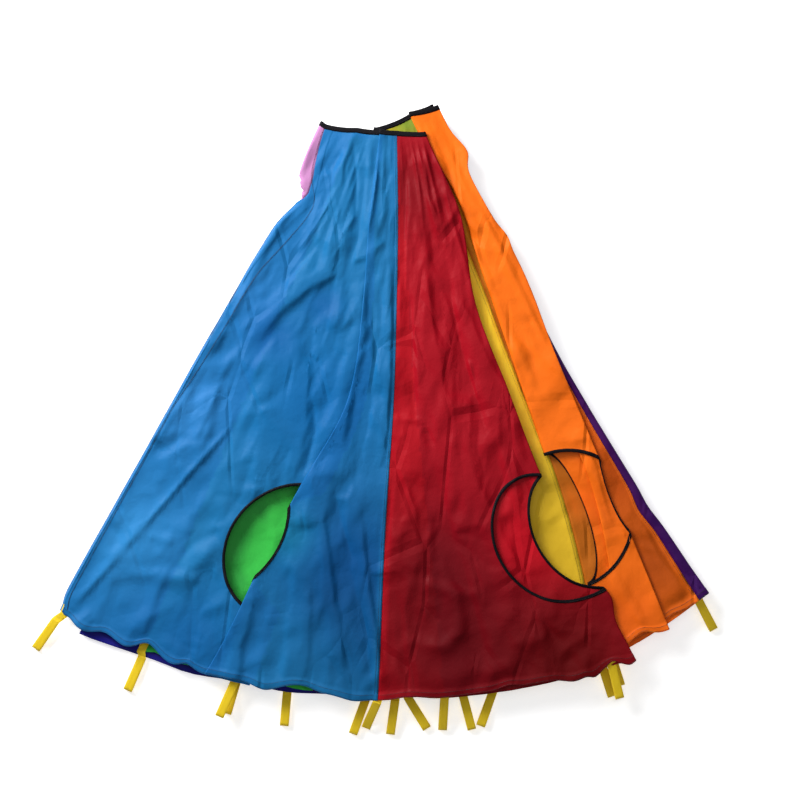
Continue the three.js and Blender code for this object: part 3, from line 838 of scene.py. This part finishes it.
def hole_turns(middle):
    turns = set(np.linspace(0, 2 * math.pi, tape_steps, endpoint=False))
    for at in line_angles:
        angle = math.radians(at - middle)
        across = gore_hole_distance * math.sin(angle)
        if abs(across) >= gore_hole_radius or not near_fold(at):
            continue
        half = math.sqrt(gore_hole_radius**2 - across**2)
        for side in (-1, 1):
            distance = gore_hole_distance * math.cos(angle) + side * half
            out = distance * math.cos(angle) - gore_hole_distance
            turns.add(math.atan2(distance * math.sin(angle), out) % (2 * math.pi))
    return np.array(sorted(turns))


def tape_ring(at, distance, section):
    rings = []
    for row_at, row_distance, height in zip(at, distance, section):
        places, across, along, normal = cloth_frames(row_at, row_distance)
        rings.append(places + normal * height)
    return np.stack(rings, 1)


for index, (colour_name, *unused) in enumerate(gores):
    middle = (index + 0.5) * gore_angle
    turns = hole_turns(middle)
    at_rows = []
    distance_rows = []
    for past, height in hole_section:
        x = (gore_hole_radius + past) * np.sin(turns)
        y = gore_hole_distance + (gore_hole_radius + past) * np.cos(turns)
        at_rows.append(middle + np.degrees(np.arctan2(x, y)))
        distance_rows.append(np.hypot(x, y))
    rings = tape_ring(at_rows, distance_rows, [height for past, height in hole_section])
    points, faces = swept(rings)
    tape = mesh_object(f"{colour_name}_hole_tape", points, faces, tape_black)
    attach(tape, "canopy")
    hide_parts(f"{colour_name}_hole_binding")

between_folds = {at for at in np.arange(0, 360, rim_turn) if not near_fold(at)}
rim = np.array(sorted(set(line_angles[:-1]) | between_folds))
rings = tape_ring(
    [rim for row in rim_section],
    [np.full(len(rim), float(middle_hole_radius + max(past, 0))) for past, height in rim_section],
    [height for past, height in rim_section],
)
places, across, along, normal = cloth_frames(rim, np.full(len(rim), float(middle_hole_radius)))
for row, (past, height) in enumerate(rim_section):
    rings[:, row] += along * min(past, 0)
points, faces = swept(rings)
middle_tape = mesh_object("middle_hole_tape", points, faces, tape_black)
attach(middle_tape, "canopy")
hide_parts("middle_hole_binding")


# Sixteen handles of yellow polypropylene webbing, at every seam and half way between. Each is one strip,
# folded into a loop, with both ends sewn under the hem. Two lie on other handles, so their feet are higher,
# in loop heights.
handle_length = 84
handle_width = 20
webbing_thickness = 1.2
handle_root_radius = 1.5
handle_loop_height = 16
handle_count = 16
handle_spacing = 360 / handle_count
floor_gap = 0.2
handle_feet = {2: 1.8, 4: 2}
tail_depth = 26
tail_steps = 5
tail_lift = 0.55
lowest_tucked = 8
root_steps = 6
run_steps = 24
hand_steps = 16
late_swell = 0.35
rib_pitch = 1.6
webbing_yellow, webbing_tree, webbing_shader = new_material("yellow_webbing", "#F2CE10", 0.72)
weave_place = add_node(webbing_tree, "ShaderNodeUVMap", uv_map="strip")
weave_ribs = add_node(
    webbing_tree,
    "ShaderNodeTexWave",
    [(weave_place.outputs["UV"], "Vector")],
    bands_direction="DIAGONAL",
    Scale=1 / rib_pitch,
    Distortion=1.2,
)
weave_bump = add_node(
    webbing_tree, "ShaderNodeBump", [(weave_ribs.outputs["Fac"], "Height")], Strength=0.5, Distance=0.0004
)
webbing_tree.links.new(weave_bump.outputs["Normal"], webbing_shader.inputs["Normal"])

# The strip's section, in shares of its width and thickness: a woven edge stands a little proud on each side
strip_section = [(-0.5, 0.2), (-0.47, 0.5), (-0.2, 0.42), (0.2, 0.42), (0.47, 0.5), (0.5, 0.2)]
strip_section += [(-aside, -lift) for aside, lift in strip_section]


def strip_rings(spine, sides, ups):
    rings = []
    for aside, lift in strip_section:
        rings.append(spine + sides * aside * handle_width + ups * lift * webbing_thickness)
    return np.stack(rings, 1)


def strip_mesh(name, rings, spine, closed):
    points, faces = swept(rings)
    count = rings.shape[1]
    if not closed:
        faces = faces[:-count].tolist()
        faces.append(list(range(count))[::-1])
        faces.append(list(range(len(points) - count, len(points))))
    piece = mesh_object(name, points, faces, webbing_yellow)
    run = np.concatenate([[0], np.cumsum(np.linalg.norm(np.diff(spine, axis=0), axis=1))])
    run = np.repeat(run, count)
    over = np.tile([aside * handle_width for aside, lift in strip_section], len(rings))
    strip = piece.data.uv_layers.new(name="strip")
    corners = np.zeros(len(piece.data.loops), int)
    piece.data.loops.foreach_get("vertex_index", corners)
    strip.data.foreach_set("uv", np.stack([run[corners], over[corners]], 1).ravel())
    return piece


# The loop's outline from the side: pinched where the ends meet, round where the hand holds it
def loop_spine():
    end = (handle_loop_height - webbing_thickness) / 2
    root = handle_root_radius - webbing_thickness / 2
    centre = handle_length - handle_loop_height / 2
    outline = []
    for step in range(root_steps + 1):
        turn = math.pi / 2 + math.pi * step / root_steps
        outline.append((root * math.cos(turn), root * math.sin(turn)))
    shares = [step / run_steps for step in range(1, run_steps)]
    swells = [root + (end - root) * (eased(t) * late_swell + t * (1 - late_swell)) for t in shares]
    outline += [(centre * t, -swell) for t, swell in zip(shares, swells)]
    for step in range(hand_steps + 1):
        turn = -math.pi / 2 + math.pi * step / hand_steps
        outline.append((centre + end * math.cos(turn), end * math.sin(turn)))
    outline += [(centre * t, swell) for t, swell in zip(shares[::-1], swells[::-1])]
    return np.array(outline)


outline = loop_spine()
turned = np.roll(outline, -1, 0) - np.roll(outline, 1, 0)
turned /= np.linalg.norm(turned, axis=1)[:, None]
handle_joints = {joint["child"]: joint for joint in frame["joints"]}
for number in range(1, handle_count + 1):
    name = f"handle_{number:02d}"
    joint = handle_joints[name]
    root = np.array(joint["pos_m"]) / METRE
    sideways = -np.array(joint["axis"])
    outward = np.array([sideways[1], -sideways[0], 0])
    reach = handle_length - handle_loop_height / 2
    foot = floor_gap + handle_loop_height * (0.5 + handle_feet.get(number, 0))
    drop = math.asin((root[2] - foot) / reach)
    ahead = outward * math.cos(drop) - np.array([0, 0, 1]) * math.sin(drop)
    upward = np.cross(ahead, sideways)
    spine = root + ahead * outline[:, :1] + upward * outline[:, 1:]
    ups = ahead * turned[:, 1:] - upward * turned[:, :1]
    sides = np.repeat(sideways[None], len(spine), 0)
    rings = strip_rings(spine, sides, ups)
    loop = strip_mesh(f"{name}_loop", rings, spine, True)
    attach(loop, name)
    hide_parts(name)

    # The sewn ends lie together, as one strip, under the hem, or on it where the hem lies on the floor
    at = np.full(tail_steps, (number - 1) * handle_spacing)
    distance = disc_radius - tail_depth * np.linspace(1, 0, tail_steps)
    places, across, along, normal = cloth_frames(at, distance)
    lie = -1 if places[0, 2] > lowest_tucked else 1
    places += normal * lie * (hem_thickness / 2 + webbing_thickness * tail_lift)
    bridge = [places[-1] * (1 - t) + root * t for t in (0.5, 1)]
    spine = np.concatenate([places, bridge])
    sides = np.concatenate([across, [sideways, sideways]])
    sides[:tail_steps] *= 1 if (across[-1] * sideways).sum() > 0 else -1
    sides = np.array([s / np.linalg.norm(s) for s in sides])
    ups = np.concatenate([normal, [normal[-1], upward]])
    tail = strip_mesh(f"{name}_sewn_end", strip_rings(spine, sides, ups), spine, False)
    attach(tail, "canopy")


# Black thread of spun polyester. It makes lock stitches in two rows round the hem and down each seam, and
# in one row on every tape.
stitch_pitch = 3.6
stitch_length = 2.7
thread_width = 0.7
thread_sides = 5
thread_seed = 11
shortest_stitch = 0.85
longest_stitch = 1.05
thread_black, *unused = new_material("black_thread", "#15121C", 0.6)

stitch_group = bpy.data.node_groups.new("lock_stitches", "GeometryNodeTree")
face = stitch_group.interface
face.new_socket("Geometry", in_out="INPUT", socket_type="NodeSocketGeometry")
length_socket = face.new_socket("Stitch Length", in_out="INPUT", socket_type="NodeSocketFloat")
width_socket = face.new_socket("Thread Width", in_out="INPUT", socket_type="NodeSocketFloat")
seed_socket = face.new_socket("Seed", in_out="INPUT", socket_type="NodeSocketInt")
thread_socket = face.new_socket("Thread", in_out="INPUT", socket_type="NodeSocketMaterial")
face.new_socket("Geometry", in_out="OUTPUT", socket_type="NodeSocketGeometry")
given = add_node(stitch_group, "NodeGroupInput")
along_name = add_node(stitch_group, "GeometryNodeInputNamedAttribute", data_type="FLOAT_VECTOR", Name="along")
up_name = add_node(stitch_group, "GeometryNodeInputNamedAttribute", data_type="FLOAT_VECTOR", Name="up")
turned_to = add_node(
    stitch_group,
    "FunctionNodeAxesToRotation",
    [(along_name.outputs["Attribute"], "Primary Axis"), (up_name.outputs["Attribute"], "Secondary Axis")],
    primary_axis="Z",
    secondary_axis="X",
)
whole_width = [(given.outputs["Thread Width"], 0)]
half_width = add_node(stitch_group, "ShaderNodeMath", whole_width, operation="MULTIPLY")
half_width.inputs[1].default_value = 0.5
one_stitch = add_node(
    stitch_group,
    "GeometryNodeMeshCylinder",
    [(half_width.outputs[0], "Radius"), (given.outputs["Stitch Length"], "Depth")],
    Vertices=thread_sides,
)
uneven = add_node(
    stitch_group, "FunctionNodeRandomValue", [(given.outputs["Seed"], "Seed")], data_type="FLOAT"
)
uneven.inputs[2].default_value = shortest_stitch
uneven.inputs[3].default_value = longest_stitch
placed = add_node(
    stitch_group,
    "GeometryNodeInstanceOnPoints",
    [
        (given.outputs["Geometry"], "Points"),
        (one_stitch.outputs["Mesh"], "Instance"),
        (turned_to.outputs["Rotation"], "Rotation"),
        (uneven.outputs[1], "Scale"),
    ],
)
real = add_node(stitch_group, "GeometryNodeRealizeInstances", [(placed.outputs["Instances"], "Geometry")])
coloured = add_node(
    stitch_group,
    "GeometryNodeSetMaterial",
    [(real.outputs["Geometry"], "Geometry"), (given.outputs["Thread"], "Material")],
)
add_node(stitch_group, "NodeGroupOutput", [(coloured.outputs["Geometry"], "Geometry")])


def thread_piece(name, rows):
    spots = []
    runs = []
    ups = []
    for at, distance, lift in rows:
        places, across, along, normal = cloth_frames(at, distance)
        places += normal * lift
        run = np.gradient(places, axis=0)
        spots.append(places)
        runs.append(run / np.linalg.norm(run, axis=1)[:, None])
        ups.append(normal)
    points = bpy.data.meshes.new(name)
    points.from_pydata((np.concatenate(spots) * METRE).tolist(), [], [])
    for label, vectors in (("along", runs), ("up", ups)):
        held = points.attributes.new(label, "FLOAT_VECTOR", "POINT")
        held.data.foreach_set("vector", np.concatenate(vectors).ravel())
    thread = bpy.data.objects.new(name, points)
    scene.collection.objects.link(thread)
    modifier = thread.modifiers.new("stitches", "NODES")
    modifier.node_group = stitch_group
    modifier[length_socket.identifier] = stitch_length * METRE
    modifier[width_socket.identifier] = thread_width * METRE
    modifier[seed_socket.identifier] = thread_seed
    modifier[thread_socket.identifier] = thread_black
    bpy.context.view_layer.update()
    shaped = thread.evaluated_get(bpy.context.evaluated_depsgraph_get())
    stitches = bpy.data.meshes.new_from_object(shaped)
    thread.modifiers.clear()
    thread.data = stitches
    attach(thread, "canopy")


def even_steps(length):
    return int(length / stitch_pitch)


hem_insets = (2.5, 12.5)
hem_rows = []
for inset in hem_insets:
    ring = disc_radius - inset
    count = even_steps(2 * math.pi * ring)
    hem_rows.append((np.linspace(0, 360, count, endpoint=False), np.full(count, ring), hem_thickness / 2))
thread_piece("hem_thread", hem_rows)

# Beside the pleat's left edge the last seam is turned wide, so its stitches run closer, and a little way in
seam_insets = (2.5, 9.5)
turning_insets = (2.5, 3.4)
turning_distances = (330, 440, 700, 940)
turning_angles = (0, 1.7, 1.5, 0.25)
seam_start = middle_hole_radius + 12
seam_end = disc_radius - 16
seam_rows = []
for seam in range(len(gores)):
    turned_wide = seam == len(gores) - 1
    for inset in turning_insets if turned_wide else seam_insets:
        distance = np.linspace(seam_start, seam_end, even_steps(seam_end - seam_start))
        at = (seam + 1) * gore_angle - np.degrees(inset / distance)
        if turned_wide:
            at += np.interp(distance, turning_distances, turning_angles)
        seam_rows.append((at, distance, cloth_thickness / 2 + seam_thickness))
thread_piece("seam_thread", seam_rows)

hole_row_share = 0.6
rim_row_share = 0.7
tape_lift = tape_outer + 0.1
tape_rows = []
for index in range(len(gores)):
    ring = gore_hole_radius + hole_tape_width * hole_row_share
    turn = np.linspace(0, 2 * math.pi, even_steps(2 * math.pi * ring), endpoint=False)
    x = ring * np.sin(turn)
    y = gore_hole_distance + ring * np.cos(turn)
    at = (index + 0.5) * gore_angle + np.degrees(np.arctan2(x, y))
    tape_rows.append((at, np.hypot(x, y), tape_lift))
ring = middle_hole_radius + tape_width * rim_row_share
turn = np.linspace(0, 360, even_steps(2 * math.pi * ring), endpoint=False)
tape_rows.append((turn, np.full(len(turn), ring), tape_lift))
thread_piece("tape_thread", tape_rows)


# A plain pale floor under even light from the upper left
floor_material, *unused, floor_shader = new_material("pale_floor", "#F4F4F4", 0.8)
floor_shader.inputs["Emission Color"].default_value = (1, 1, 1, 1)
floor_shader.inputs["Emission Strength"].default_value = 0.55
floor_reach = 40000
floor_drop = -0.3
floor_sides = ((-1, -1), (1, -1), (1, 1), (-1, 1))
floor_corners = [(x * floor_reach, y * floor_reach, floor_drop) for x, y in floor_sides]
floor = mesh_object("floor", floor_corners, [(0, 1, 2, 3)], floor_material, smooth=False)

# The room's own light is faint. A window stands low at the upper left, and a weaker lamp hangs from the
# ceiling.
room_strength = 0.16
window_place = (-1.9, 1.9, 1.6)
window_size = 1.8
window_power = 165
ceiling_place = (0.3, 0.3, 3.4)
ceiling_size = 2.5
ceiling_power = 28
world = bpy.data.worlds.new("studio")
scene.world = world
world.use_nodes = True
background = world.node_tree.nodes["Background"]
background.inputs["Color"].default_value = (1, 1, 1, 1)
background.inputs["Strength"].default_value = room_strength


def add_lamp(name, place, size, power):
    lamp = bpy.data.lights.new(name, "AREA")
    lamp.size = size
    lamp.energy = power
    holder = bpy.data.objects.new(name, lamp)
    holder.location = place
    holder.rotation_euler = (Vector((0, 0, 0)) - Vector(place)).to_track_quat("-Z", "Y").to_euler()
    scene.collection.objects.link(holder)


add_lamp("window", window_place, window_size, window_power)
add_lamp("ceiling", ceiling_place, ceiling_size, ceiling_power)

# The camera looks straight down, so that eight hundred pixels of the photograph cover its own width of
# floor
photo_middle = (400, 400)
photo_width = 800
cloth_height = 30
lens = 85
sensor = 36
camera_data = bpy.data.cameras.new("camera")
camera_data.lens = lens
camera_data.sensor_width = sensor
camera = bpy.data.objects.new("camera", camera_data)
middle_x, middle_y = from_photo(photo_middle)
camera_height = photo_width * photo_scale * lens / sensor + cloth_height
camera.location = ((middle_x + shift[0]) * METRE, (middle_y + shift[1]) * METRE, camera_height * METRE)
scene.collection.objects.link(camera)
scene.camera = camera
scene.render.engine = "CYCLES"
scene.view_settings.view_transform = "Standard"
